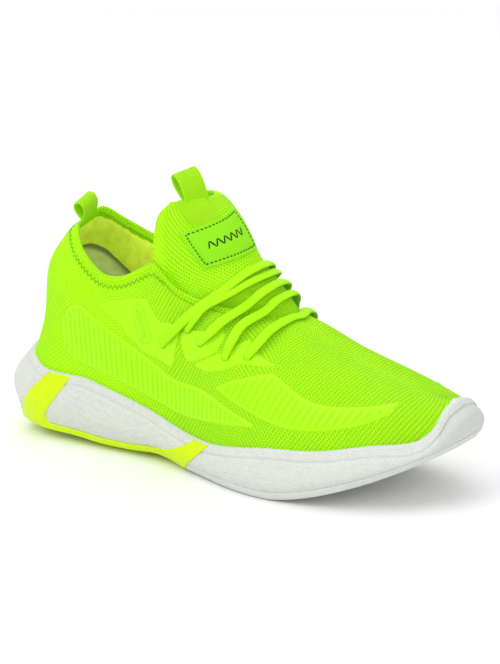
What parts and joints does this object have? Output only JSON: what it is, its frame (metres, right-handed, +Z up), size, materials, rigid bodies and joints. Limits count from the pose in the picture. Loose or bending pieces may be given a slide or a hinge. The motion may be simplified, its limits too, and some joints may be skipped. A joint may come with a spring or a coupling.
{
  "type": "running shoe",
  "caption": "Right-foot knitted running shoe: bootie tongue, flat lace, pull loops, welded overlays and a thick foam sole in a heel cradle.",
  "frame": {"origin": "on the ground, midway between the rearmost and foremost points of the sole and on the line down the middle of the heel", "axes": "+X to the toe, +Y to the inside of the foot, +Z up"},
  "size_m": [0.2896, 0.1055, 0.1644],
  "materials": {
    "knit_lime": "matte open-mesh knit",
    "film_lime": "satin welded film",
    "lace_lime": "woven cord and webbing",
    "label_green": "matte label with dark stitches",
    "foam_white": "fine-textured moulded foam",
    "cradle_yellow": "smooth satin rubber",
    "tread_white": "textured rubber",
    "lining_olive": "smooth brushed lining",
    "lining_grey": "matte lining and board"
  },
  "bodies": {
    "rearfoot": {"outsole_heel_tread": "tread_white", "heel_cradle": "cradle_yellow", "outsole_rear": "tread_white", "midsole_rear": "foam_white", "strobel_rear": "lining_grey", "upper_rear": "knit_lime", "heel_counter": "lining_grey", "heel_lining": "lining_grey", "collar_lining": "lining_olive", "collar_binding": "knit_lime", "heel_backstay": "lining_olive", "quarter_ribs_lateral": "film_lime", "quarter_ribs_medial": "film_lime", "forefoot_ribs_rear_lateral": "film_lime", "forefoot_ribs_rear_medial": "film_lime", "rear_wing_lateral": "film_lime", "rear_wing_medial": "film_lime", "middle_eyestay_lateral": "film_lime", "middle_eyestay_medial": "film_lime", "front_eyestay_lateral": "film_lime", "front_eyestay_medial": "film_lime", "lace": "lace_lime", "tongue_base": "knit_lime"},
    "forefoot": {"outsole_front": "tread_white", "midsole_front": "foam_white", "strobel_front": "lining_grey", "insole_front": "lining_grey", "upper_front": "knit_lime", "toe_puff": "lining_grey", "forefoot_ribs_front_lateral": "film_lime", "forefoot_ribs_front_medial": "film_lime"},
    "tongue": {"tongue_top": "knit_lime", "tongue_label": "label_green", "tongue_tab_strap": "lace_lime"},
    "tongue_loop": {"tongue_pull_loop": "lace_lime"},
    "heel_loop": {"heel_pull_loop": "lace_lime"},
    "insole": {"insole_rear": "lining_grey"}
  },
  "joints": [
    {"name": "forefoot_flex", "type": "hinge", "parent": "rearfoot", "child": "forefoot", "pos_m": [0.06375, 0, 0.0297], "axis": [0, -1, 0], "range_deg": [0, 30]},
    {"name": "tongue_flex", "type": "hinge", "parent": "rearfoot", "child": "tongue", "pos_m": [0.01125, 0, 0.1167], "axis": [0, 1, 0], "range_deg": [0, 22]},
    {"name": "tongue_loop_tilt", "type": "hinge", "parent": "tongue", "child": "tongue_loop", "pos_m": [-0.02165, -0.011, 0.1503], "axis": [0.4165, 0.8826, 0.2182], "range_deg": [-25, 35]},
    {"name": "heel_loop_tilt", "type": "hinge", "parent": "rearfoot", "child": "heel_loop", "pos_m": [-0.10125, 0.001, 0.1273], "axis": [0, 1, 0], "range_deg": [-20, 40]},
    {"name": "insole_lift", "type": "hinge", "parent": "rearfoot", "child": "insole", "pos_m": [0.06345, 0, 0.0172], "axis": [0, 1, 0], "range_deg": [0, 1]}
  ]
}
